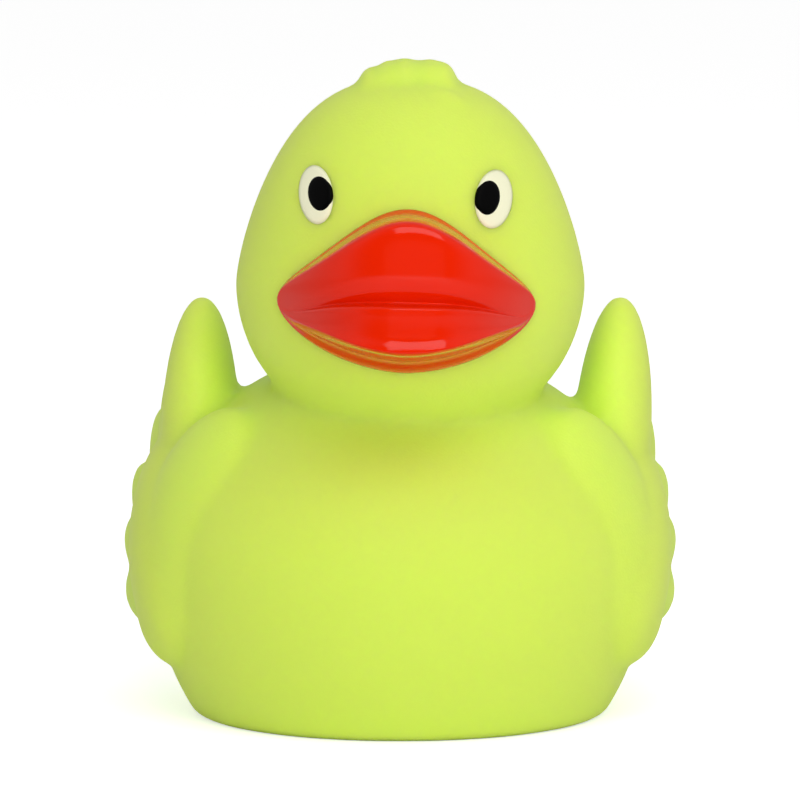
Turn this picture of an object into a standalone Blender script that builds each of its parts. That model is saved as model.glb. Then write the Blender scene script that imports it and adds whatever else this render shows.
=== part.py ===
"""A rubber duck for the bath: one hollow moulded vinyl duck, its beak and its eyes painted on.

The duck stands on its flat base at z = 0, with the middle of the base at x = y = 0, and looks
along -Y. The wings, tail, tuft and beak are all part of the one moulding. The paint of the beak
and of the eyes lies on it as thin skins. Units are metres, and +Z is up.
"""

import math

import bmesh
import bpy
from mathutils import Matrix, Vector

MM = 0.001

# Wall, paint and the vent, which is a little behind the middle of the base
WALL = 2.2 * MM
PAINT = 0.3 * MM
PAINT_GAP = 0.3 * MM
VENT_DIAMETER = 2.6 * MM
VENT_BACK = 8.0 * MM
VENT_SEGMENTS = 24

# Body: an egg, widest at the belly, cut flat below
BELLY_HEIGHT = 19.0 * MM
BELLY_HALF_WIDTH = 32.0 * MM
BELLY_FRONT = 33.5 * MM
BELLY_BACK = 35.0 * MM
BODY_ABOVE_BELLY = 27.0 * MM
BODY_BELOW_BELLY = 33.4 * MM
SHOULDER_TAPER = 2.0
SHOULDER_FULLNESS = 2.4
SHOULDER_SET_BACK = 8.0 * MM
BASE_SOFTENING = 0.15 * MM

# Head: an egg that narrows towards the crown, a little to the duck's left
HEAD_HEIGHT = 56.0 * MM
HEAD_FORWARD = 6.0 * MM
HEAD_SHIFT = 1.3 * MM
HEAD_HALF_WIDTH = 22.2 * MM
HEAD_FRONT = 22.3 * MM
HEAD_BACK = 22.0 * MM
HEAD_ABOVE = 25.8 * MM
HEAD_BELOW = 21.0 * MM
CROWN_TAPER = 1.35
CROWN_FULLNESS = 2.75

# Tuft of feathers on the crown
LOCK_HALF_WIDTH = 2.2 * MM
LOCK_HALF_HEIGHT = 4.4 * MM
LOCK_FRONT = 6.8 * MM
LOCK_BACK = 6.0 * MM
LOCK_SINK = 1.2 * MM

# Each lock of the tuft: how far out its middle is and how much it stands over the crown
LOCKS = (
    (-4.7 * MM, 2.4 * MM),
    (-2.8 * MM, 3.1 * MM),
    (-0.6 * MM, 3.6 * MM),
    (1.0 * MM, 3.15 * MM),
    (2.6 * MM, 3.45 * MM),
    (4.2 * MM, 3.0 * MM),
)

# Rump and tail
RUMP_ROOT = (0.0 * MM, -9.5 * MM, 20.0 * MM)
RUMP_BACK = 39.0 * MM
RUMP_HEIGHT = 32.0 * MM
RUMP_HALF_WIDTH = 18.0 * MM
RUMP_HALF_THICKNESS = 15.0 * MM
TAIL_BACK = 43.5 * MM
TAIL_HEIGHT = 41.0 * MM
TAIL_HALF_WIDTH = 8.5 * MM
TAIL_HALF_THICKNESS = 6.5 * MM
TAIL_ROOT = (0.0 * MM, 12.0 * MM, 18.0 * MM)
TAIL_SPREAD = 8.5 * MM
TAIL_SIDE_STEP = 4.0 * MM

# Wings: a rounded covert against the side, a front part that wraps round the chest,
# and feathers that fan up and back
WING_SPREAD = 27.0 * MM
COVERT_HEIGHT = 21.5 * MM
COVERT_BACK = 1.5 * MM
COVERT_HALF_THICKNESS = 8.1 * MM
COVERT_HALF_LENGTH = 20.0 * MM
COVERT_HALF_WIDTH = 12.6 * MM
COVERT_TILT = math.radians(35)
WING_FRONT_PLACE = (24.8 * MM, -8.0 * MM, 23.5 * MM)
WING_FRONT_HALF_HEIGHT = 17.0 * MM
WING_FRONT_HALF_LENGTH = 13.0 * MM
WING_FRONT_HALF_THICKNESS = 8.0 * MM
WING_FRONT_TURN = math.radians(25)
WING_FRONT_LEAN = math.radians(16)
FEATHER_ROOT = (26.0 * MM, -1.0 * MM, 17.0 * MM)
WING_LEAN = 1.5 * MM
WING_LEAN_FROM = 30.0 * MM

# Each feather: where its tip is (out, back, up), its half width and its half thickness
FEATHERS = (
    ((27.3 * MM, 14.0 * MM, 52.5 * MM), 9.0 * MM, 5.3 * MM),
    ((29.3 * MM, 22.0 * MM, 44.3 * MM), 8.0 * MM, 4.4 * MM),
    ((31.5 * MM, 26.0 * MM, 36.0 * MM), 7.0 * MM, 4.0 * MM),
    ((34.1 * MM, 27.5 * MM, 27.5 * MM), 6.5 * MM, 4.0 * MM),
    ((35.6 * MM, 26.5 * MM, 20.0 * MM), 6.0 * MM, 4.0 * MM),
    ((34.8 * MM, 23.5 * MM, 12.5 * MM), 6.0 * MM, 4.4 * MM),
)

# The face sits a little to the duck's right of the head's own middle, and is tilted a little
FACE_SHIFT = -0.55 * MM
FACE_TILT = math.radians(1.2)

# Beak outline on the face, measured from the head's widest level
BEAK_HALF_WIDTH = 15.7 * MM
BEAK_TOP = 10.15 * MM
BEAK_BOTTOM = -9.6 * MM
BEAK_CORNER = -1.5 * MM
BEAK_MOUTH = -0.55 * MM
MOUTH_SAG = 3.4 * MM
TOP_EDGE_DROP = 1.55
TOP_EDGE_SPREAD = 0.88
BOTTOM_EDGE_TAPER = 1.75
BOTTOM_EDGE_FULLNESS = 0.6
CORNER_ROUNDING = 16

# How far the beak stands off the head along its middle: (level, reach), where the level is
# -1 at the bottom of the outline, 0 at the mouth and 1 at the top
BEAK_PROFILE = (
    (-1.00, 0.0 * MM),
    (-0.98, 0.7 * MM),
    (-0.93, 1.6 * MM),
    (-0.87, 2.25 * MM),
    (-0.82, 2.8 * MM),
    (-0.78, 4.2 * MM),
    (-0.73, 6.9 * MM),
    (-0.68, 9.8 * MM),
    (-0.64, 11.4 * MM),
    (-0.60, 11.8 * MM),
    (-0.54, 11.4 * MM),
    (-0.44, 10.8 * MM),
    (-0.30, 10.45 * MM),
    (-0.16, 10.15 * MM),
    (-0.10, 9.7 * MM),
    (-0.06, 8.7 * MM),
    (-0.03, 7.4 * MM),
    (0.00, 6.6 * MM),
    (0.05, 6.8 * MM),
    (0.13, 7.3 * MM),
    (0.30, 7.75 * MM),
    (0.50, 8.0 * MM),
    (0.68, 8.15 * MM),
    (0.78, 8.1 * MM),
    (0.85, 7.8 * MM),
    (0.90, 7.3 * MM),
    (0.93, 6.6 * MM),
    (0.96, 5.0 * MM),
    (0.985, 2.4 * MM),
    (1.00, 0.0 * MM),
)
BEAK_ROOT = 1.2 * MM
LIP_EDGE = 0.635
LIP_EDGE_RISE = 0.45
LIP_ENDS = 0.93
LIP_TAPER = 3.2

# Eyes, in the face's own width and height from the head's widest level
EYE_UP = 11.7 * MM
PUPIL_RISE = 0.1 * MM
WHITE_HALF_HEIGHT = 3.5 * MM
PUPIL_HALF_WIDTH = 1.5 * MM
PUPIL_HALF_HEIGHT = 2.2 * MM
EYE_TILT = math.radians(6)

# Each eye: where its white and its pupil are across the face, and the white's half width
EYES = {
    "right": (-12.07 * MM, -11.46 * MM, 2.1 * MM),
    "left": (10.14 * MM, 9.32 * MM, 2.28 * MM),
}

# Mesh fineness
BEAK_COLUMNS = 14
BEAK_LEVEL_STEP = 0.15
EYE_SEGMENTS = 24
EYE_RINGS = 3
VOXEL = 0.8 * MM
CAVITY_VOXEL = 1.6 * MM
OUTSIDE_KEPT = 0.076
CAVITY_KEPT = 0.09
SMOOTHING = 13
MERGE_DISTANCE = 0.01 * MM

# Colours as linear RGB
VINYL_COLOUR = (0.62, 0.88, 0.10)
BEAK_COLOUR = (0.82, 0.05, 0.005)
WHITE_COLOUR = (0.83, 0.85, 0.70)
BLACK_COLOUR = (0.004, 0.004, 0.004)


def clear_scene():
    for old in list(bpy.data.objects):
        bpy.data.objects.remove(old, do_unlink=True)


def material(name, colour, roughness):
    made = bpy.data.materials.new(name)
    made.use_nodes = True
    shader = made.node_tree.nodes["Principled BSDF"]
    shader.inputs["Base Color"].default_value = (*colour, 1.0)
    shader.inputs["Roughness"].default_value = roughness
    shader.inputs["Metallic"].default_value = 0.0
    made.diffuse_color = (*colour, 1.0)
    return made


def new_object(name, bm, finish=None):
    mesh = bpy.data.meshes.new(name)
    bm.to_mesh(mesh)
    bm.free()
    mesh.shade_smooth()
    made = bpy.data.objects.new(name, mesh)
    bpy.context.scene.collection.objects.link(made)
    if finish:
        mesh.materials.append(finish)
    return made


def helper_object(name, bm):
    made = new_object(name, bm)
    made.hide_render = True
    made.display_type = "WIRE"
    return made


def level_share(height, above, below, taper, fullness):
    """How wide an egg is at a height over its widest level, as a share of its width there."""
    if height >= 0:
        return max(0.0, 1 - (height / above) ** taper) ** (1 / fullness)
    return math.sqrt(max(0.0, 1 - (height / below) ** 2))


def head_share(height):
    return level_share(height, HEAD_ABOVE, HEAD_BELOW, CROWN_TAPER, CROWN_FULLNESS)


def face_surface(x, z):
    """The y of the head's front at this place, all measured from the head's middle."""
    share = head_share(z)
    return -HEAD_FRONT * math.sqrt(max(0.0, share**2 - (x / HEAD_HALF_WIDTH) ** 2))


def egg(bm, middle, half_width, front, back, above, below, taper=2.0, fullness=2.0, grow=0.0):
    """A closed egg around its widest level. Grow moves its whole surface outwards."""
    made = bmesh.ops.create_uvsphere(bm, u_segments=48, v_segments=32, radius=1.0)
    for vert in made["verts"]:
        ring = math.hypot(vert.co.x, vert.co.y)
        height = vert.co.z
        share = level_share(height, 1.0, 1.0, taper, fullness) / ring if ring > 1e-4 else 0.0
        depth = front if vert.co.y < 0 else back
        vert.co.x *= share * (half_width + grow)
        vert.co.y *= share * (depth + grow)
        vert.co.z *= (above if height > 0 else below) + grow
        vert.co += Vector(middle)


def lobe(bm, root, tip, half_width, half_thickness, facing, grow=0.0):
    """A feather-like lobe from root to tip, whose flat side faces the given way."""
    along = (Vector(tip) - Vector(root)) / 2
    axis = along.normalized()
    flat = Vector(facing)
    flat = (flat - axis * flat.dot(axis)).normalized()
    across = flat.cross(axis)
    turn = Matrix((across, flat, axis)).transposed().to_4x4()
    sizes = [size + grow for size in (half_width, half_thickness, along.length)]
    place = Matrix.Translation(Vector(root) + along) @ turn @ Matrix.Diagonal((*sizes, 1.0))
    bmesh.ops.create_uvsphere(bm, u_segments=24, v_segments=16, radius=1.0, matrix=place)


def add_body(bm, grow=0.0):
    """The trunk, whose shoulders sit back from the belly, flattened a hair under the base."""
    before = set(bm.verts)
    egg(
        bm,
        (0, 0, BELLY_HEIGHT),
        BELLY_HALF_WIDTH,
        BELLY_FRONT,
        BELLY_BACK,
        BODY_ABOVE_BELLY,
        BODY_BELOW_BELLY,
        SHOULDER_TAPER,
        SHOULDER_FULLNESS,
        grow,
    )
    for vert in set(bm.verts) - before:
        over = max(0.0, vert.co.z - BELLY_HEIGHT) / BODY_ABOVE_BELLY
        vert.co.y += SHOULDER_SET_BACK * over**2
        vert.co.z = max(vert.co.z, -BASE_SOFTENING - grow)


def head_middle():
    return Vector((HEAD_SHIFT, -HEAD_FORWARD, HEAD_HEIGHT))


def add_head(bm, grow=0.0):
    egg(
        bm,
        head_middle(),
        HEAD_HALF_WIDTH,
        HEAD_FRONT,
        HEAD_BACK,
        HEAD_ABOVE,
        HEAD_BELOW,
        CROWN_TAPER,
        CROWN_FULLNESS,
        grow,
    )


def add_tuft(bm):
    """Locks side by side on the crown, which sink back into it in front and behind."""
    crown = head_middle() + Vector((0, 0, HEAD_ABOVE))
    for out, stands in LOCKS:
        middle = stands - LOCK_HALF_HEIGHT
        tip = crown + Vector((out, -LOCK_FRONT, middle - LOCK_SINK))
        root = crown + Vector((out, LOCK_BACK, middle))
        lobe(bm, root, tip, LOCK_HALF_WIDTH, LOCK_HALF_HEIGHT, (0, 0, 1))


def add_rump(bm, grow=0.0):
    tip = (0, RUMP_BACK, RUMP_HEIGHT)
    lobe(bm, RUMP_ROOT, tip, RUMP_HALF_WIDTH, RUMP_HALF_THICKNESS, (0, 0, 1), grow)


def add_tail(bm):
    """Three upturned feathers, the middle one the longest."""
    for step in (-1, 0, 1):
        shorter = abs(step) * TAIL_SIDE_STEP
        tip = (step * TAIL_SPREAD, TAIL_BACK - shorter, TAIL_HEIGHT - shorter)
        lobe(bm, TAIL_ROOT, tip, TAIL_HALF_WIDTH, TAIL_HALF_THICKNESS, (0, 0, 1))


def add_covert(bm, side, grow=0.0):
    middle = Vector((side * WING_SPREAD, COVERT_BACK, COVERT_HEIGHT))
    reach = COVERT_HALF_LENGTH * Vector((0, math.cos(COVERT_TILT), math.sin(COVERT_TILT)))
    sizes = (COVERT_HALF_WIDTH, COVERT_HALF_THICKNESS)
    lobe(bm, middle - reach, middle + reach, *sizes, (side, 0, 0), grow)


def add_wing_front(bm, side):
    """The front of the wing, which wraps round the chest and leans in towards the neck."""
    out, forward, up = WING_FRONT_PLACE
    middle = Vector((side * out, forward, up))
    rise = Vector((-side * math.sin(WING_FRONT_LEAN), 0, math.cos(WING_FRONT_LEAN)))
    rise *= WING_FRONT_HALF_HEIGHT
    facing = (side * math.cos(WING_FRONT_TURN), -math.sin(WING_FRONT_TURN), math.sin(WING_FRONT_LEAN))
    sizes = (WING_FRONT_HALF_LENGTH, WING_FRONT_HALF_THICKNESS)
    lobe(bm, middle - rise, middle + rise, *sizes, facing)


def add_wing(bm, side):
    add_covert(bm, side)
    add_wing_front(bm, side)
    out, back, up = FEATHER_ROOT
    for (tip_out, tip_back, tip_up), half_width, half_thickness in FEATHERS:
        top = FEATHERS[0][0][2]
        lean = WING_LEAN * max(0.0, (tip_up - WING_LEAN_FROM) / (top - WING_LEAN_FROM))
        root = (side * out, back, up)
        tip = (side * tip_out + lean, tip_back, tip_up)
        lobe(bm, root, tip, half_width, half_thickness, (side, 0, 0))


def profile_reach(level):
    """The beak's reach at a level of its middle, on a smooth curve through its profile."""
    keys = BEAK_PROFILE
    spot = max(i for i in range(len(keys) - 1) if keys[i][0] <= level)
    (low, start), (high, end) = keys[spot], keys[spot + 1]
    share = (level - low) / (high - low)

    def slope(i):
        before, after = keys[max(i - 1, 0)], keys[min(i + 1, len(keys) - 1)]
        return (after[1] - before[1]) / (after[0] - before[0]) * (high - low)

    square, cube = share**2, share**3
    return (
        start * (2 * cube - 3 * square + 1)
        + slope(spot) * (cube - 2 * square + share)
        + end * (3 * square - 2 * cube)
        + slope(spot + 1) * (cube - square)
    )


def tilted(x, z):
    """A place on the face, turned about the head's middle by the tilt of beak and eyes."""
    turn = math.cos(FACE_TILT), math.sin(FACE_TILT)
    return x * turn[0] + z * turn[1], z * turn[0] - x * turn[1]


def beak_point(across, level, least=0.0):
    """A point of the beak's outer surface from the head's middle, at least this far off the head."""
    wide = abs(across)
    corner = math.sqrt(max(0.0, 1 - wide**CORNER_ROUNDING))
    top_share = (1 - TOP_EDGE_DROP * wide**2 / (1 + TOP_EDGE_SPREAD * wide**2)) * corner
    bottom_share = max(0.0, 1 - wide**BOTTOM_EDGE_TAPER) ** BOTTOM_EDGE_FULLNESS
    mouth = BEAK_MOUTH + (BEAK_CORNER - BEAK_MOUTH) * wide**2
    mouth -= MOUTH_SAG * wide**4 * (1 - wide**8)
    up = BEAK_CORNER + (BEAK_TOP - BEAK_CORNER) * top_share - mouth
    down = mouth - BEAK_CORNER - (BEAK_BOTTOM - BEAK_CORNER) * bottom_share
    lip = LIP_EDGE * (1 - LIP_EDGE_RISE * wide**2) * down
    if level > 0:
        z = mouth + level * up
    elif level > -LIP_EDGE:
        z = mouth + level / LIP_EDGE * lip
    else:
        z = mouth - lip + (level + LIP_EDGE) / (1 - LIP_EDGE) * (down - lip)
    reach = profile_reach(level)
    fade = max(0.0, 1 - (wide / LIP_ENDS) ** LIP_TAPER)
    reach = min(reach, BEAK_ROOT) * corner + max(0.0, reach - BEAK_ROOT) * fade
    x, z = tilted(FACE_SHIFT + across * BEAK_HALF_WIDTH, z)
    return Vector((x, face_surface(x, z) - max(least, reach), z))


def beak_levels():
    """The profile's own levels and one more between each two that lie far apart."""
    levels = [key[0] for key in BEAK_PROFILE]
    between = [(a + b) / 2 for a, b in zip(levels, levels[1:]) if b - a > BEAK_LEVEL_STEP]
    return sorted(levels + between)


def add_beak_surface(bm, grow=0.0):
    """The open outer surface of the beak, from rim to rim, moved outwards by grow."""
    levels = beak_levels()
    columns = 2 * BEAK_COLUMNS
    made = bmesh.ops.create_grid(bm, x_segments=columns, y_segments=len(levels) - 1, size=1.0)
    for vert in made["verts"]:
        column = round((vert.co.x + 1) / 2 * columns)
        row = round((vert.co.y + 1) / 2 * (len(levels) - 1))
        across = math.sin(math.pi / 2 * (column / BEAK_COLUMNS - 1))
        vert.co = beak_point(across, levels[row], 2 * grow)
    bmesh.ops.remove_doubles(bm, verts=bm.verts, dist=MERGE_DISTANCE)
    bm.normal_update()
    for vert in bm.verts:
        vert.co += vert.normal * grow
    bmesh.ops.translate(bm, vec=head_middle(), verts=bm.verts)


def solidify(thing, thickness):
    skin = thing.modifiers.new("Skin", "SOLIDIFY")
    skin.thickness = thickness
    skin.offset = 1.0


def boolean(thing, operation, other):
    cut = thing.modifiers.new(other.name, "BOOLEAN")
    cut.operation = operation
    cut.object = other
    cut.solver = "EXACT"


def melt_together(thing, voxel, kept):
    """Joins a mesh's lobes into one skin with soft valleys between them."""
    remesh = thing.modifiers.new("Join", "REMESH")
    remesh.mode = "VOXEL"
    remesh.voxel_size = voxel
    soften = thing.modifiers.new("Soften", "SMOOTH")
    soften.factor = 0.5
    soften.iterations = round(SMOOTHING)
    fewer = thing.modifiers.new("Fewer faces", "DECIMATE")
    fewer.ratio = kept


def below(name, height):
    """A cutter that takes away everything under a height."""
    bm = bmesh.new()
    deep = BODY_BELOW_BELLY
    side = 4 * BELLY_HALF_WIDTH
    place = Matrix.Translation((0, 0, height - deep / 2)) @ Matrix.Diagonal((side, side, deep, 1))
    bmesh.ops.create_cube(bm, size=1.0, matrix=place)
    return helper_object(name, bm)


def beak_core():
    """The beak as a closed solid that reaches back into the head."""
    bm = bmesh.new()
    add_beak_surface(bm)
    rim = [edge for edge in bm.edges if edge.is_boundary]
    pushed = bmesh.ops.extrude_edge_only(bm, edges=rim)
    back_verts = [item for item in pushed["geom"] if isinstance(item, bmesh.types.BMVert)]
    back_edges = [item for item in pushed["geom"] if isinstance(item, bmesh.types.BMEdge)]
    for vert in back_verts:
        vert.co.y += WALL
    bmesh.ops.contextual_create(bm, geom=back_edges)
    bmesh.ops.recalc_face_normals(bm, faces=bm.faces)
    return helper_object("beak_core", bm)


def cavity():
    """The hollow inside: the same eggs, a wall thinner all round."""
    bm = bmesh.new()
    add_body(bm, -WALL)
    add_head(bm, -WALL)
    add_rump(bm, -WALL)
    for side in (-1, 1):
        add_covert(bm, side, -WALL)
    made = helper_object("cavity", bm)
    melt_together(made, CAVITY_VOXEL, CAVITY_KEPT)
    boolean(made, "DIFFERENCE", below("cavity_floor", WALL))
    return made


def vent():
    bm = bmesh.new()
    radius = VENT_DIAMETER / 2
    place = Matrix.Translation((0, VENT_BACK, WALL / 2))
    bmesh.ops.create_cone(
        bm,
        cap_ends=True,
        segments=VENT_SEGMENTS,
        radius1=radius,
        radius2=radius,
        depth=3 * WALL,
        matrix=place,
    )
    return helper_object("vent", bm)


def duck_body(finish):
    bm = bmesh.new()
    add_body(bm)
    add_head(bm)
    add_tuft(bm)
    add_rump(bm)
    add_tail(bm)
    for side in (-1, 1):
        add_wing(bm, side)
    made = new_object("duck_body", bm, finish)
    melt_together(made, VOXEL, OUTSIDE_KEPT)
    boolean(made, "DIFFERENCE", below("base_cut", 0.0))
    boolean(made, "UNION", beak_core())
    boolean(made, "DIFFERENCE", cavity())
    boolean(made, "DIFFERENCE", vent())


def beak_paint(finish):
    bm = bmesh.new()
    add_beak_surface(bm, PAINT_GAP)
    solidify(new_object("beak_paint", bm, finish), PAINT)


def face_spot(name, across, up, half_width, half_height, tilt, stands, finish):
    """An oval spot of paint that follows the face, standing off it by a gap."""
    bm = bmesh.new()
    bmesh.ops.create_circle(bm, segments=EYE_SEGMENTS, radius=1.0, cap_ends=True)
    inner = bm.faces[:][0]
    for _ in range(EYE_RINGS):
        bmesh.ops.inset_individual(bm, faces=[inner], thickness=1 / (EYE_RINGS + 1))
    for vert in bm.verts:
        wide, high = vert.co.x * half_width, vert.co.y * half_height
        x = across + wide * math.cos(tilt) - high * math.sin(tilt)
        z = up + wide * math.sin(tilt) + high * math.cos(tilt)
        x, z = tilted(x, z)
        vert.co = (x, face_surface(x, z), z)
    bm.normal_update()
    for vert in bm.verts:
        vert.co += vert.normal * stands + head_middle()
    solidify(new_object(name, bm, finish), PAINT)


def eyes(white, black):
    for name, (white_at, pupil_at, half_width) in EYES.items():
        tilt = math.copysign(EYE_TILT, -white_at)
        face_spot(
            f"eye_white_{name}",
            white_at,
            EYE_UP,
            half_width,
            WHITE_HALF_HEIGHT,
            tilt,
            PAINT_GAP,
            white,
        )
        face_spot(
            f"pupil_{name}",
            pupil_at,
            EYE_UP + PUPIL_RISE,
            PUPIL_HALF_WIDTH,
            PUPIL_HALF_HEIGHT,
            tilt,
            2 * PAINT_GAP + PAINT,
            black,
        )


def main():
    clear_scene()
    duck_body(material("green_vinyl", VINYL_COLOUR, 0.55))
    beak_paint(material("red_paint", BEAK_COLOUR, 0.15))
    eyes(material("white_paint", WHITE_COLOUR, 0.4), material("black_paint", BLACK_COLOUR, 0.35))


main()
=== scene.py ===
"""The looks of a vinyl bath duck: a matt translucent moulding with a glossy beak and painted eyes.

The duck looks along -Y and stands at z = 0. Sizes are in metres, written in millimetres by MM.
"""

import math

import bmesh
import bpy
from mathutils import Matrix, Vector


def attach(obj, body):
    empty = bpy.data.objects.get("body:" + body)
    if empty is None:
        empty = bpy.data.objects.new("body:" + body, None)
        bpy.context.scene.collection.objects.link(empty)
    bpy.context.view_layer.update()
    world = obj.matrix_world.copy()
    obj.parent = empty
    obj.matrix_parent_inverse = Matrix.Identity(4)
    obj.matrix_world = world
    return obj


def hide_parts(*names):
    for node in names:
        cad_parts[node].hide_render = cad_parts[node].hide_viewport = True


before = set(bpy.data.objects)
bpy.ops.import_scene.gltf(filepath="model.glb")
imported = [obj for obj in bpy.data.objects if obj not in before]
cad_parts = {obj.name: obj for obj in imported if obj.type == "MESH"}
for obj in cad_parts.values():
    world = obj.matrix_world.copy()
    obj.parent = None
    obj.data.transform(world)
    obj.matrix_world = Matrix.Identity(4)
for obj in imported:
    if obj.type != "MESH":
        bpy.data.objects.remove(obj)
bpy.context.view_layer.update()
MM = 0.001


# Camera
# A long lens almost level with the duck, which looks straight at it. The aim is a hair to the
# duck's left and half way up, and the frame is 103 mm wide there.
CAMERA_DISTANCE = 800.0 * MM
CAMERA_ELEVATION = math.radians(5.6)
CAMERA_AIM = Vector((0.3, 0.0, 40.2)) * MM
FRAME_WIDTH = 102.7 * MM
SENSOR_WIDTH = 36.0
FRAME_SHIFT = -0.0031

camera_data = bpy.data.cameras.new("camera")
camera_data.sensor_width = SENSOR_WIDTH
camera_data.lens = SENSOR_WIDTH * CAMERA_DISTANCE / FRAME_WIDTH
camera_data.shift_x = FRAME_SHIFT
camera_data.clip_start = 10 * MM
camera = bpy.data.objects.new("camera", camera_data)
bpy.context.scene.collection.objects.link(camera)
camera_way = Vector((0, -math.cos(CAMERA_ELEVATION), math.sin(CAMERA_ELEVATION)))
camera.location = CAMERA_AIM + camera_way * CAMERA_DISTANCE
camera.rotation_euler = (math.pi / 2 - CAMERA_ELEVATION, 0, 0)
bpy.context.scene.camera = camera


# Vinyl moulding
# The whole duck is one hollow shell of soft vinyl, cast in a closed mould that turns: trunk,
# head, tuft, wings and tail run into each other with soft valleys, and a vent is left below.
WALL = 2.2 * MM
VENT_DIAMETER = 2.6 * MM
VENT_BACK = 8.0 * MM
SKIN_VOXEL = 0.6 * MM
SKIN_SMOOTHING = 10
CAVITY_VOXEL = 1.6 * MM
CAVITY_SMOOTHING = 4
SMOOTHING_SHARE = 0.5
EGG_SEGMENTS = (96, 64)
LOBE_SEGMENTS = (32, 24)
VENT_SEGMENTS = 32
VENT_LENGTH = 3 * WALL
POLE_RADIUS = 1e-4

BELLY_HEIGHT = 19.0 * MM
BELLY_HALF_WIDTH = 32.0 * MM
BELLY_FRONT = 33.5 * MM
BELLY_BACK = 35.0 * MM
TRUNK_ABOVE = 27.0 * MM
TRUNK_BELOW = 33.4 * MM
SHOULDER_TAPER = 2.0
SHOULDER_FULLNESS = 2.4
SHOULDER_SET_BACK = 8.0 * MM

HEAD_MIDDLE = Vector((1.3, -6.0, 56.0)) * MM
HEAD_HALF_WIDTH = 22.2 * MM
HEAD_FRONT = 22.3 * MM
HEAD_BACK = 22.0 * MM
HEAD_ABOVE = 25.8 * MM
HEAD_BELOW = 21.0 * MM
CROWN_TAPER = 1.35
CROWN_FULLNESS = 2.75
CREASE_MIDDLE = Vector((0.7, -4.0, 41.5)) * MM
CREASE_RADIUS = 16.4 * MM
CREASE_TILT = 0.12
CREASE_REACHES = (5.5 * MM, 3.5 * MM)
CREASE_PASSES = 14


def level_share(height, above, below, taper, fullness):
    """How wide an egg is at a height over its widest level, as a share of its width there."""
    if height >= 0:
        return max(0.0, 1 - (height / above) ** taper) ** (1 / fullness)
    return math.sqrt(max(0.0, 1 - (height / below) ** 2))


def egg(bm, middle, half_width, front, back, above, below, taper, fullness, grow=0.0):
    """A closed egg around its widest level, with its whole surface moved outwards by grow."""
    around, up = EGG_SEGMENTS
    made = bmesh.ops.create_uvsphere(bm, u_segments=around, v_segments=up, radius=1.0)
    for vert in made["verts"]:
        ring = math.hypot(vert.co.x, vert.co.y)
        height = vert.co.z
        wide = level_share(height, 1.0, 1.0, taper, fullness)
        share = wide / ring if ring > POLE_RADIUS else 0.0
        vert.co.x *= share * (half_width + grow)
        vert.co.y *= share * ((front if vert.co.y < 0 else back) + grow)
        vert.co.z *= (above if height > 0 else below) + grow
        vert.co += middle
    return made["verts"]


def trunk(bm, grow=0.0):
    """The body, whose shoulders sit back from the belly, flat underneath."""
    middle = Vector((0, 0, BELLY_HEIGHT))
    sizes = (BELLY_HALF_WIDTH, BELLY_FRONT, BELLY_BACK, TRUNK_ABOVE, TRUNK_BELOW)
    for vert in egg(bm, middle, *sizes, SHOULDER_TAPER, SHOULDER_FULLNESS, grow):
        over = max(0.0, vert.co.z - BELLY_HEIGHT) / TRUNK_ABOVE
        vert.co.y += SHOULDER_SET_BACK * over**2
        vert.co.z = max(vert.co.z, -grow)


def head(bm, grow=0.0):
    sizes = (HEAD_HALF_WIDTH, HEAD_FRONT, HEAD_BACK, HEAD_ABOVE, HEAD_BELOW)
    egg(bm, HEAD_MIDDLE, *sizes, CROWN_TAPER, CROWN_FULLNESS, grow)


def face_surface(x, z):
    """The y of the head's front at this place, all measured from the head's middle."""
    share = level_share(z, HEAD_ABOVE, HEAD_BELOW, CROWN_TAPER, CROWN_FULLNESS)
    return -HEAD_FRONT * math.sqrt(max(0.0, share**2 - (x / HEAD_HALF_WIDTH) ** 2))


def lobe(bm, root, tip, half_width, half_thickness, facing, grow=0.0):
    """A feather-like lobe from root to tip, whose flat side faces the given way."""
    along = (Vector(tip) - Vector(root)) / 2
    axis = along.normalized()
    flat = Vector(facing)
    flat = (flat - axis * flat.dot(axis)).normalized()
    turn = Matrix((flat.cross(axis), flat, axis)).transposed().to_4x4()
    sizes = [size + grow for size in (half_width, half_thickness, along.length)]
    place = Matrix.Translation(Vector(root) + along) @ turn @ Matrix.Diagonal((*sizes, 1.0))
    around, up = LOBE_SEGMENTS
    bmesh.ops.create_uvsphere(bm, u_segments=around, v_segments=up, radius=1.0, matrix=place)


# The tuft: short locks side by side on the crown, which sink back into the head in front and
# behind, and three strands below them on the duck's left, so thin that the joining melts them
# into the head
LOCK_HALF_WIDTH = 2.1 * MM
LOCK_HALF_HEIGHT = 4.4 * MM
LOCK_FRONT = -6.8 * MM
LOCK_BACK = 6.0 * MM
LOCK_SINK = 1.2 * MM
STRAND_HALF_WIDTH = 0.55 * MM
STRAND_FACING = (0, -1, 0.5)

# Each lock, in mm: how far out its middle is and how much it stands over the crown
LOCKS = ((-4.9, 2.15), (-2.8, 2.9), (-0.8, 3.3), (0.6, 2.9), (2.5, 3.15), (4.1, 2.75))

# Each strand, in mm from the crown: its upper and its lower end (out, down)
STRANDS = (((2.2, 0.6), (3.6, 2.2)), ((3.6, 0.9), (5.0, 2.6)), ((4.9, 1.2), (6.4, 3.2)))


def on_head(out, down):
    """A place on the head's front, in mm out and down from the crown."""
    x, z = out * MM, HEAD_ABOVE - down * MM
    return HEAD_MIDDLE + Vector((x, face_surface(x, z), z))


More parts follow.
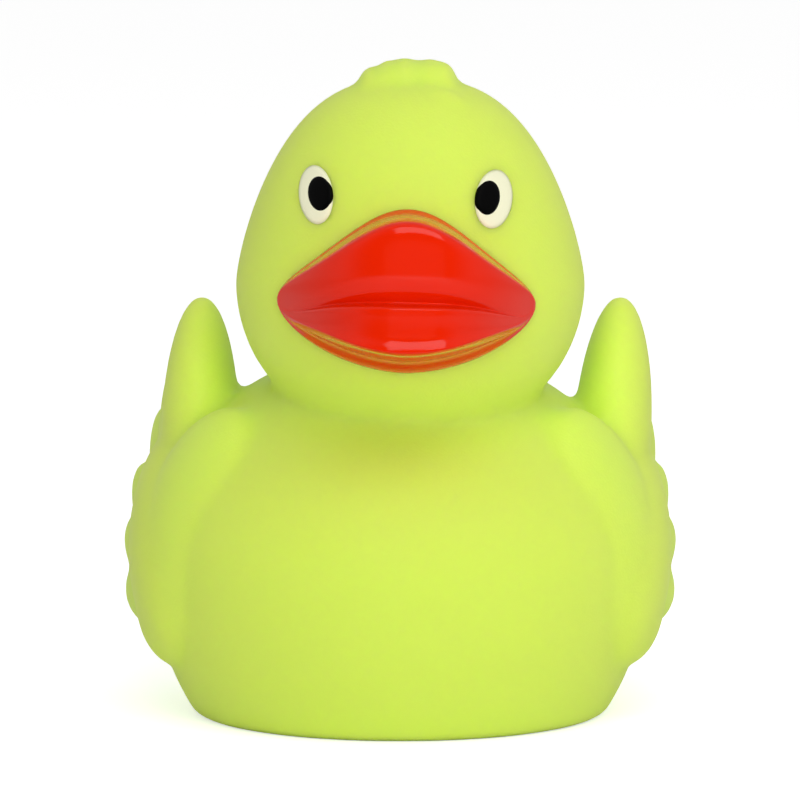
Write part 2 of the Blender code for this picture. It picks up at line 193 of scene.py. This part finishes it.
def tuft(bm):
    crown = HEAD_MIDDLE + Vector((0, 0, HEAD_ABOVE))
    for out, stands in LOCKS:
        middle = stands * MM - LOCK_HALF_HEIGHT
        tip = crown + Vector((out * MM, LOCK_FRONT, middle - LOCK_SINK))
        root = crown + Vector((out * MM, LOCK_BACK, middle))
        lobe(bm, root, tip, LOCK_HALF_WIDTH, LOCK_HALF_HEIGHT, (0, 0, 1))
    for upper, lower in STRANDS:
        ends = on_head(*upper), on_head(*lower)
        lobe(bm, *ends, STRAND_HALF_WIDTH, STRAND_HALF_WIDTH, STRAND_FACING)


# The rump, and the three upturned feathers of the tail
RUMP_ROOT = Vector((0.0, -9.5, 20.0)) * MM
RUMP_TIP = Vector((0.0, 39.0, 32.0)) * MM
RUMP_HALF_WIDTH = 18.0 * MM
RUMP_HALF_THICKNESS = 15.0 * MM
TAIL_ROOT = Vector((0.0, 12.0, 18.0)) * MM
TAIL_TIP = Vector((0.0, 43.0, 40.6)) * MM
TAIL_HALF_WIDTH = 8.3 * MM
TAIL_HALF_THICKNESS = 6.2 * MM
TAIL_SPREAD = 8.5 * MM
TAIL_SIDE_STEP = 4.0 * MM


def rump(bm, grow=0.0):
    lobe(bm, RUMP_ROOT, RUMP_TIP, RUMP_HALF_WIDTH, RUMP_HALF_THICKNESS, (0, 0, 1), grow)


def tail(bm):
    for step in (-1, 0, 1):
        shorter = abs(step) * TAIL_SIDE_STEP
        tip = TAIL_TIP + Vector((step * TAIL_SPREAD, -shorter, -shorter))
        lobe(bm, TAIL_ROOT, tip, TAIL_HALF_WIDTH, TAIL_HALF_THICKNESS, (0, 0, 1))


# The wings: on each side a rounded covert, a front that wraps round the chest, and feathers that
# fan up and back from under them
COVERT_MIDDLE = Vector((27.0, 1.5, 21.5)) * MM
COVERT_HALF_THICKNESS = 8.0 * MM
COVERT_HALF_LENGTH = 20.0 * MM
COVERT_HALF_WIDTH = 12.6 * MM
COVERT_TILT = math.radians(35)
WING_FRONT_MIDDLE = Vector((24.8, -8.0, 23.5)) * MM
WING_FRONT_HALF_HEIGHT = 17.0 * MM
WING_FRONT_HALF_LENGTH = 13.0 * MM
WING_FRONT_HALF_THICKNESS = 7.2 * MM
WING_FRONT_TURN = math.radians(25)
WING_FRONT_LEAN = math.radians(16)
FEATHER_ROOT = Vector((26.0, -1.0, 17.0)) * MM
WING_LEAN = 1.5 * MM
WING_LEAN_FROM = 30.0 * MM

# Each feather, in mm: where its tip is (out, back, up), its half width and its half thickness
FEATHERS = (
    ((27.3, 14.0, 52.3), 8.8, 5.1),
    ((29.3, 22.0, 44.1), 7.8, 4.2),
    ((31.4, 25.8, 36.0), 6.8, 3.8),
    ((34.1, 27.3, 27.5), 6.3, 3.8),
    ((35.3, 26.3, 20.0), 5.8, 3.8),
    ((34.7, 23.3, 12.6), 5.8, 4.2),
)


def on_side(side, place):
    """A place on the duck's left, moved to its right side where side is -1."""
    return Vector((side * place.x, place.y, place.z))


def covert(bm, side, grow=0.0):
    middle = on_side(side, COVERT_MIDDLE)
    reach = COVERT_HALF_LENGTH * Vector((0, math.cos(COVERT_TILT), math.sin(COVERT_TILT)))
    sizes = (COVERT_HALF_WIDTH, COVERT_HALF_THICKNESS)
    lobe(bm, middle - reach, middle + reach, *sizes, (side, 0, 0), grow)


def wing_front(bm, side):
    """The front of the wing, which wraps round the chest and leans in towards the neck."""
    middle = on_side(side, WING_FRONT_MIDDLE)
    lean, turn = WING_FRONT_LEAN, WING_FRONT_TURN
    rise = Vector((-side * math.sin(lean), 0, math.cos(lean))) * WING_FRONT_HALF_HEIGHT
    facing = (side * math.cos(turn), -math.sin(turn), math.sin(lean))
    sizes = (WING_FRONT_HALF_LENGTH, WING_FRONT_HALF_THICKNESS)
    lobe(bm, middle - rise, middle + rise, *sizes, facing)


def feather(bm, side, tip, half_width, half_thickness, grow=0.0):
    """A feather of the fan, whose upper end leans to the duck's left, as the head does."""
    root = on_side(side, FEATHER_ROOT)
    end = on_side(side, Vector(tip)) * MM
    highest = FEATHERS[0][0][2] * MM
    end.x += WING_LEAN * max(0.0, (end.z - WING_LEAN_FROM) / (highest - WING_LEAN_FROM))
    lobe(bm, root, end, half_width * MM, half_thickness * MM, (side, 0, 0), grow)


def wing(bm, side):
    covert(bm, side)
    wing_front(bm, side)
    for tip, half_width, half_thickness in FEATHERS:
        feather(bm, side, tip, half_width, half_thickness)


def new_piece(name, bm):
    mesh = bpy.data.meshes.new(name)
    bm.to_mesh(mesh)
    bm.free()
    mesh.shade_smooth()
    piece = bpy.data.objects.new(name, mesh)
    bpy.context.scene.collection.objects.link(piece)
    return piece


def melt_together(piece, voxel, smoothing):
    """Joins a mesh's lobes into one skin with soft valleys between them."""
    remesh = piece.modifiers.new("Join", "REMESH")
    remesh.mode = "VOXEL"
    remesh.voxel_size = voxel
    remesh.use_smooth_shade = True
    soften = piece.modifiers.new("Soften", "SMOOTH")
    soften.factor = SMOOTHING_SHARE
    soften.iterations = smoothing


def smooth(bm, verts, passes):
    """Draws each point part of the way to the middle of its neighbours, once a pass."""
    share = SMOOTHING_SHARE
    for _ in range(passes):
        bmesh.ops.smooth_vert(
            bm, verts=verts, factor=share, use_axis_x=True, use_axis_y=True, use_axis_z=True
        )


def cut_away(piece, other):
    """Takes one piece's shape out of another."""
    cut = piece.modifiers.new(other.name, "BOOLEAN")
    cut.operation = "DIFFERENCE"
    cut.object = other
    cut.solver = "EXACT"


def settle(piece, helpers):
    """Turns a piece's modifiers into its own mesh and removes the shapes that they used."""
    graph = bpy.context.evaluated_depsgraph_get()
    mesh = bpy.data.meshes.new_from_object(piece.evaluated_get(graph))
    piece.modifiers.clear()
    piece.data = mesh
    for helper in helpers:
        bpy.data.objects.remove(helper, do_unlink=True)


skin_bm = bmesh.new()
trunk(skin_bm)
head(skin_bm)
tuft(skin_bm)
rump(skin_bm)
tail(skin_bm)
for side in (-1, 1):
    wing(skin_bm, side)
vinyl_duck = new_piece("vinyl_duck", skin_bm)
melt_together(vinyl_duck, SKIN_VOXEL, SKIN_SMOOTHING)

hollow_bm = bmesh.new()
trunk(hollow_bm, -WALL)
head(hollow_bm, -WALL)
rump(hollow_bm, -WALL)
for side in (-1, 1):
    covert(hollow_bm, side, -WALL)
    feather(hollow_bm, side, *FEATHERS[0], -WALL)
hollow = new_piece("hollow", hollow_bm)
melt_together(hollow, CAVITY_VOXEL, CAVITY_SMOOTHING)

vent_bm = bmesh.new()
vent_place = Matrix.Translation((0, VENT_BACK, WALL / 2))
vent_radius = VENT_DIAMETER / 2
bmesh.ops.create_cone(
    vent_bm,
    cap_ends=True,
    segments=VENT_SEGMENTS,
    radius1=vent_radius,
    radius2=vent_radius,
    depth=VENT_LENGTH,
    matrix=vent_place,
)
vent = new_piece("vent", vent_bm)
cut_away(vinyl_duck, hollow)
cut_away(vinyl_duck, vent)
settle(vinyl_duck, (hollow, vent))

# The crease between head and body is a wide soft hollow: the points near its ring are smoothed
# twice, first far out and then close by
crease_bm = bmesh.new()
crease_bm.from_mesh(vinyl_duck.data)
for reach in CREASE_REACHES:
    near = []
    for vert in crease_bm.verts:
        off = vert.co - CREASE_MIDDLE
        aside = math.hypot(off.x, off.y) - CREASE_RADIUS
        if math.hypot(aside, off.z - CREASE_TILT * off.y) < reach:
            near.append(vert)
    smooth(crease_bm, near, CREASE_PASSES)
crease_bm.to_mesh(vinyl_duck.data)
crease_bm.free()


def linear(hex_colour):
    """A linear colour with alpha from an sRGB hex value."""
    channels = [int(hex_colour[i : i + 2], 16) / 255 for i in (1, 3, 5)]
    return (*[c / 12.92 if c <= 0.04045 else ((c + 0.055) / 1.055) ** 2.4 for c in channels], 1.0)


def new_material(name):
    """An empty node material with its shader and the place for it to plug in."""
    made = bpy.data.materials.new(name)
    made.use_nodes = True
    return made, made.node_tree.nodes["Principled BSDF"]


def add_node(tree, kind, settings=None, links=None):
    """Adds a node. Settings go to its sockets or properties, links feed its inputs."""
    node = tree.nodes.new(kind)
    for key, value in (settings or {}).items():
        if isinstance(key, int) or key in node.inputs:
            node.inputs[key].default_value = value
        else:
            setattr(node, key, value)
    for key, source in (links or {}).items():
        tree.links.new(source, node.inputs[key])
    return node


# Plasticised vinyl, cast against a blasted mould: a milky yellow-green that light sinks into,
# so that edges glow, and a matt grain that breaks up every reflection. The real grain is finer
# than a point of the picture, so it is drawn as coarse as it needs to show.
VINYL_COLOUR = "#D5F160"
VINYL_DEPTH = 4.0 * MM
GRAIN = 0.35 * MM
GRAIN_DEPTH = 0.05 * MM
GRAIN_STRENGTH = 0.45

vinyl, shader = new_material("cast_soft_vinyl")
tree = vinyl.node_tree
place = add_node(tree, "ShaderNodeTexCoord").outputs["Object"]
grain = add_node(tree, "ShaderNodeTexNoise", {"Scale": 1 / GRAIN, "Detail": 2.0}, {"Vector": place})
bump = add_node(
    tree,
    "ShaderNodeBump",
    {"Strength": GRAIN_STRENGTH, "Distance": GRAIN_DEPTH},
    {"Height": grain.outputs["Fac"]},
)
tree.links.new(bump.outputs["Normal"], shader.inputs["Normal"])
shader.inputs["Base Color"].default_value = linear(VINYL_COLOUR)
shader.inputs["Roughness"].default_value = 0.5
shader.inputs["IOR"].default_value = 1.5
shader.inputs["Specular IOR Level"].default_value = 0.15
shader.inputs["Subsurface Weight"].default_value = 1.0
shader.inputs["Subsurface Radius"].default_value = (1.0, 1.0, 0.5)
shader.inputs["Subsurface Scale"].default_value = VINYL_DEPTH
vinyl_duck.data.materials.clear()
vinyl_duck.data.materials.append(vinyl)
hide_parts("duck_body")
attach(vinyl_duck, "root")


# Beak paint
# A thick glossy red-orange lacquer, sprayed through a mask over the moulded beak, down to the
# narrow flange that runs round it on the face. It hides the vinyl under it, which isn't made.
BEAK_HALF_WIDTH = 16.15 * MM
FACE_SHIFT = -0.5 * MM
FACE_TILT = math.radians(1.2)
BEAK_TOP = 10.45 * MM
BEAK_BOTTOM = -9.95 * MM
BEAK_CORNER = -1.5 * MM
BEAK_MOUTH = -0.45 * MM
MOUTH_SAG = 3.4 * MM
SAG_STARTS = 4
SAG_ENDS = 8
TOP_EDGE_DROP = 1.55
TOP_EDGE_SPREAD = 0.88
BOTTOM_EDGE_TAPER = 1.75
BOTTOM_EDGE_FULLNESS = 0.6
CORNER_ROUNDING = 16
BEAK_ROOT = 1.2
LIP_EDGE = 0.635
LIP_EDGE_RISE = 0.45
LIP_ENDS = 0.97
LIP_TAPER = 3.2
LIP_END_SOFTNESS = 1.35
LIP_MELT = 3
PAINT_INSIDE = 0.05 * MM
PAINT_OUTSIDE = 0.3 * MM
BEAK_COLUMNS = 48
BEAK_FINENESS = 4
BEAK_SMOOTHING = 4
MERGE_DISTANCE = 0.01 * MM

# How far the beak stands off the head along its middle, in mm: (level, reach). The level is -1
# at the bottom of its outline, 0 at the mouth and 1 at the top.
BEAK_PROFILE = (
    (-1.00, 0.0),
    (-0.98, 0.7),
    (-0.95, 1.3),
    (-0.92, 1.75),
    (-0.89, 2.1),
    (-0.86, 2.5),
    (-0.82, 3.4),
    (-0.78, 4.9),
    (-0.74, 6.9),
    (-0.70, 9.0),
    (-0.67, 10.5),
    (-0.645, 11.4),
    (-0.62, 11.8),
    (-0.60, 11.8),
    (-0.575, 11.65),
    (-0.54, 11.42),
    (-0.50, 11.13),
    (-0.46, 10.87),
    (-0.42, 10.68),
    (-0.32, 10.4),
    (-0.18, 10.15),
    (-0.07, 10.0),
    (-0.035, 9.8),
    (-0.022, 9.35),
    (-0.013, 8.6),
    (-0.006, 7.5),
    (0.00, 6.7),
    (0.03, 6.75),
    (0.08, 7.05),
    (0.165, 7.45),
    (0.32, 7.85),
    (0.50, 8.1),
    (0.66, 8.3),
    (0.78, 8.4),
    (0.86, 8.3),
    (0.895, 8.05),
    (0.92, 7.4),
    (0.935, 6.2),
    (0.945, 4.6),
    (0.952, 3.0),
    (0.96, 1.7),
    (0.97, 1.1),
    (0.985, 0.7),
    (1.00, 0.0),
)


def tilted(x, z):
    """A place on the face, turned about the head's middle by the tilt of beak and eyes."""
    turn = math.cos(FACE_TILT), math.sin(FACE_TILT)
    return x * turn[0] + z * turn[1], z * turn[0] - x * turn[1]


def profile_reach(level):
    """The beak's reach at a level of its middle, on a smooth curve through its profile."""
    keys = BEAK_PROFILE
    spot = max(i for i in range(len(keys) - 1) if keys[i][0] <= level)
    (low, start), (high, end) = keys[spot], keys[spot + 1]
    share = (level - low) / (high - low)

    def slope(i):
        before, after = keys[max(i - 1, 0)], keys[min(i + 1, len(keys) - 1)]
        return (after[1] - before[1]) / (after[0] - before[0]) * (high - low)

    square, cube = share**2, share**3
    reach = start * (2 * cube - 3 * square + 1) + slope(spot) * (cube - 2 * square + share)
    reach += end * (3 * square - 2 * cube) + slope(spot + 1) * (cube - square)
    return reach * MM


def beak_point(across, level):
    """A point of the beak's outer surface, measured from the head's middle."""
    wide = abs(across)
    corner = math.sqrt(max(0.0, 1 - wide**CORNER_ROUNDING))
    top_share = (1 - TOP_EDGE_DROP * wide**2 / (1 + TOP_EDGE_SPREAD * wide**2)) * corner
    bottom_share = max(0.0, 1 - wide**BOTTOM_EDGE_TAPER) ** BOTTOM_EDGE_FULLNESS
    mouth = BEAK_MOUTH + (BEAK_CORNER - BEAK_MOUTH) * wide**2
    mouth -= MOUTH_SAG * wide**SAG_STARTS * (1 - wide**SAG_ENDS)
    up = BEAK_CORNER + (BEAK_TOP - BEAK_CORNER) * top_share - mouth
    down = mouth - BEAK_CORNER - (BEAK_BOTTOM - BEAK_CORNER) * bottom_share
    lens = LIP_EDGE * (1 - LIP_EDGE_RISE * wide**2) * down
    if level > 0:
        z = mouth + level * up
    elif level > -LIP_EDGE:
        z = mouth + level / LIP_EDGE * lens
    else:
        z = mouth - lens + (level + LIP_EDGE) / (1 - LIP_EDGE) * (down - lens)
    x = FACE_SHIFT + across * BEAK_HALF_WIDTH

    # Towards the corners the lower lip rises out of the mouth more gently, and stands out less
    if -LIP_EDGE < level < 0:
        level *= 1 - wide**2 * (1 + level / LIP_EDGE)
    reach = profile_reach(level)
    if level < 0:
        mouth_reach = profile_reach(0)
        reach -= max(0.0, reach - mouth_reach) * wide**LIP_MELT
    fade = max(0.0, 1 - (wide / LIP_ENDS) ** LIP_TAPER) ** LIP_END_SOFTNESS
    root = BEAK_ROOT * MM
    reach = min(reach, root) * corner + max(0.0, reach - root) * fade
    x, z = tilted(x, z)
    return Vector((x, face_surface(x, z) - reach, z))


def beak_surface(bm, forwards):
    """The open outer surface of the beak, from rim to rim, moved forwards off the face."""
    keys = [key[0] for key in BEAK_PROFILE]
    steps = [i / BEAK_FINENESS for i in range(BEAK_FINENESS)]
    levels = [a + (b - a) * step for a, b in zip(keys, keys[1:]) for step in steps] + [1.0]
    columns, rows = 2 * BEAK_COLUMNS, len(levels) - 1
    made = bmesh.ops.create_grid(bm, x_segments=columns, y_segments=rows, size=1.0)
    for vert in made["verts"]:
        column = round((vert.co.x + 1) / 2 * columns)
        row = round((vert.co.y + 1) / 2 * rows)
        across = math.sin(math.pi / 2 * (column / BEAK_COLUMNS - 1))
        vert.co = HEAD_MIDDLE + beak_point(across, levels[row]) - Vector((0, forwards, 0))
    bmesh.ops.remove_doubles(bm, verts=bm.verts, dist=MERGE_DISTANCE)
    inner = [vert for vert in bm.verts if not vert.is_boundary]
    smooth(bm, inner, BEAK_SMOOTHING)


def solidify(piece, thickness, offset):
    """Gives a sheet its thickness, outwards where offset is 1 and inwards where it is -1."""
    skin = piece.modifiers.new("Skin", "SOLIDIFY")
    skin.thickness = thickness
    skin.offset = offset


paint_bm = bmesh.new()
beak_surface(paint_bm, PAINT_OUTSIDE)
beak_coat = new_piece("beak_coat", paint_bm)
solidify(beak_coat, PAINT_INSIDE + PAINT_OUTSIDE, -1.0)

# Two-pack lacquer, sprayed wet and thick: a deep red-orange with a clear wet gloss
BEAK_COLOUR = "#E22100"

lacquer, shader = new_material("sprayed_gloss_lacquer")
shader.inputs["Base Color"].default_value = linear(BEAK_COLOUR)
shader.inputs["Roughness"].default_value = 0.09
shader.inputs["IOR"].default_value = 1.5
shader.inputs["Specular IOR Level"].default_value = 0.25
beak_coat.data.materials.append(lacquer)
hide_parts("beak_paint")
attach(beak_coat, "root")


# Eyes
# Ovals of satin paint, printed on the face with a soft pad: an off-white one on each side, and
# a black pupil on it, nearer to the beak.
EYE_UP = 11.7 * MM
PUPIL_RISE = 0.1 * MM
WHITE_HALF_HEIGHT = 3.5 * MM
PUPIL_HALF_SIZE = (1.5 * MM, 2.2 * MM)
EYE_TILT = math.radians(6)
EYE_SEGMENTS = 64
EYE_RINGS = 8
EYE_EDGE = 8
WHITE_STANDS = 0.25 * MM
PUPIL_STANDS = 0.4 * MM
PAINT_SUNK = 0.15 * MM
WHITE_COLOUR = "#EEEDCB"
BLACK_COLOUR = "#020202"

# Each eye, in mm: where its white and its pupil are across the face, and the white's half width
EYES = {"right": (-12.07, -11.46, 2.1), "left": (10.14, 9.32, 2.28)}


def face_spot(name, across, up, half_size, tilt, stands):
    """An oval of paint that follows the face and thins out towards its edge."""
    bm = bmesh.new()
    bmesh.ops.create_circle(bm, segments=EYE_SEGMENTS, radius=1.0, cap_ends=True)
    inner = bm.faces[:][0]
    for _ in range(EYE_RINGS):
        bmesh.ops.inset_individual(bm, faces=[inner], thickness=1 / (EYE_RINGS + 1))
    rims = {}
    for vert in bm.verts:
        rims[vert] = vert.co.length
        wide, high = vert.co.x * half_size[0], vert.co.y * half_size[1]
        x = across + wide * math.cos(tilt) - high * math.sin(tilt)
        z = up + wide * math.sin(tilt) + high * math.cos(tilt)
        x, z = tilted(x, z)
        vert.co = (x, face_surface(x, z), z)
    bm.normal_update()
    for vert in bm.verts:
        dome = math.sqrt(max(0.0, 1 - rims[vert] ** EYE_EDGE))
        vert.co += vert.normal * (stands * dome - PAINT_SUNK) + HEAD_MIDDLE
    spot = new_piece(name, bm)
    solidify(spot, PAINT_SUNK, 1.0)
    return spot


# Pad-printing ink, laid on wet in one dab: an even coat with a dull satin sheen
eye_white, shader = new_material("printed_satin_white")
shader.inputs["Base Color"].default_value = linear(WHITE_COLOUR)
shader.inputs["Roughness"].default_value = 0.4
eye_black, shader = new_material("printed_satin_black")
shader.inputs["Base Color"].default_value = linear(BLACK_COLOUR)
shader.inputs["Roughness"].default_value = 0.5
shader.inputs["Specular IOR Level"].default_value = 0.05

for name, (white_at, pupil_at, half_width) in EYES.items():
    tilt = math.copysign(EYE_TILT, -white_at)
    size = (half_width * MM, WHITE_HALF_HEIGHT)
    white = face_spot(f"white_{name}", white_at * MM, EYE_UP, size, tilt, WHITE_STANDS)
    white.data.materials.append(eye_white)
    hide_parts(f"eye_white_{name}")
    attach(white, "root")
    up = EYE_UP + PUPIL_RISE
    black = face_spot(f"black_{name}", pupil_at * MM, up, PUPIL_HALF_SIZE, tilt, PUPIL_STANDS)
    black.data.materials.append(eye_black)
    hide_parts(f"pupil_{name}")
    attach(black, "root")


# Stage
# A plain white floor that keeps the duck's shadow, and a white sweep behind and beside it, which
# fades towards the dim room on the camera's side. One wide soft box hangs over it in front, and
# a large panel low in front, which no gloss mirrors, fills the shadows.
FLOOR_SIZE = 60.0
FLOOR_GLOW = 0.55
SWEEP_LIGHT = 0.58
ROOM_LIGHT = 0.05
ROOM_STARTS = -0.85
ROOM_ENDS = -0.15
KEY_PLACE = (0.18, -0.62, 0.78)
KEY_SIZE = (0.85, 0.38)
KEY_POWER = 3.0
FILL_PLACE = (0.14, -1.25, 0.1)
FILL_SIZE = (1.2, 0.9)
FILL_POWER = 14.0

# White paper, which glows for the camera alone, so that it shows white around the shadow
floor_bm = bmesh.new()
bmesh.ops.create_grid(floor_bm, x_segments=1, y_segments=1, size=FLOOR_SIZE / 2)
floor = new_piece("floor", floor_bm)
floor_paper, shader = new_material("white_paper")
tree = floor_paper.node_tree
shader.inputs["Base Color"].default_value = (0.9, 0.9, 0.9, 1.0)
shader.inputs["Roughness"].default_value = 1.0
shader.inputs["Specular IOR Level"].default_value = 0.0
shader.inputs["Emission Color"].default_value = (1, 1, 1, 1)
rays = add_node(tree, "ShaderNodeLightPath")
seen = add_node(
    tree,
    "ShaderNodeMath",
    {"operation": "MULTIPLY", 1: FLOOR_GLOW},
    {0: rays.outputs["Is Camera Ray"]},
)
tree.links.new(seen.outputs[0], shader.inputs["Emission Strength"])
floor.data.materials.append(floor_paper)

# The sweep, which the camera sees as plain white, whatever light it gives
world = bpy.data.worlds.new("white_sweep")
world.use_nodes = True
bpy.context.scene.world = world
tree = world.node_tree
background = tree.nodes["Background"]
background.inputs["Color"].default_value = (1, 1, 1, 1)
way = add_node(tree, "ShaderNodeTexCoord").outputs["Generated"]
axes = add_node(tree, "ShaderNodeSeparateXYZ", {}, {"Vector": way})
lit = add_node(
    tree,
    "ShaderNodeMapRange",
    {
        "interpolation_type": "SMOOTHSTEP",
        "From Min": ROOM_STARTS,
        "From Max": ROOM_ENDS,
        "To Min": ROOM_LIGHT,
        "To Max": SWEEP_LIGHT,
    },
    {"Value": axes.outputs["Y"]},
)
rays = add_node(tree, "ShaderNodeLightPath")
shown = add_node(
    tree,
    "ShaderNodeMix",
    {"data_type": "FLOAT", "B": 1.0},
    {"Factor": rays.outputs["Is Camera Ray"], "A": lit.outputs["Result"]},
)
tree.links.new(shown.outputs["Result"], background.inputs["Strength"])


def soft_lamp(name, place, size, power):
    """A rectangular lamp that points at the middle of the duck."""
    light = bpy.data.lights.new(name, "AREA")
    light.shape = "RECTANGLE"
    light.size, light.size_y = size
    light.energy = power
    lamp = bpy.data.objects.new(name, light)
    bpy.context.scene.collection.objects.link(lamp)
    lamp.location = place
    lamp.rotation_euler = (CAMERA_AIM - Vector(place)).to_track_quat("-Z", "Y").to_euler()
    return lamp


fill_panel = soft_lamp("fill_panel", FILL_PLACE, FILL_SIZE, FILL_POWER)
fill_panel.visible_glossy = False
soft_lamp("soft_box", KEY_PLACE, KEY_SIZE, KEY_POWER)

bpy.context.scene.view_settings.view_transform = "Standard"
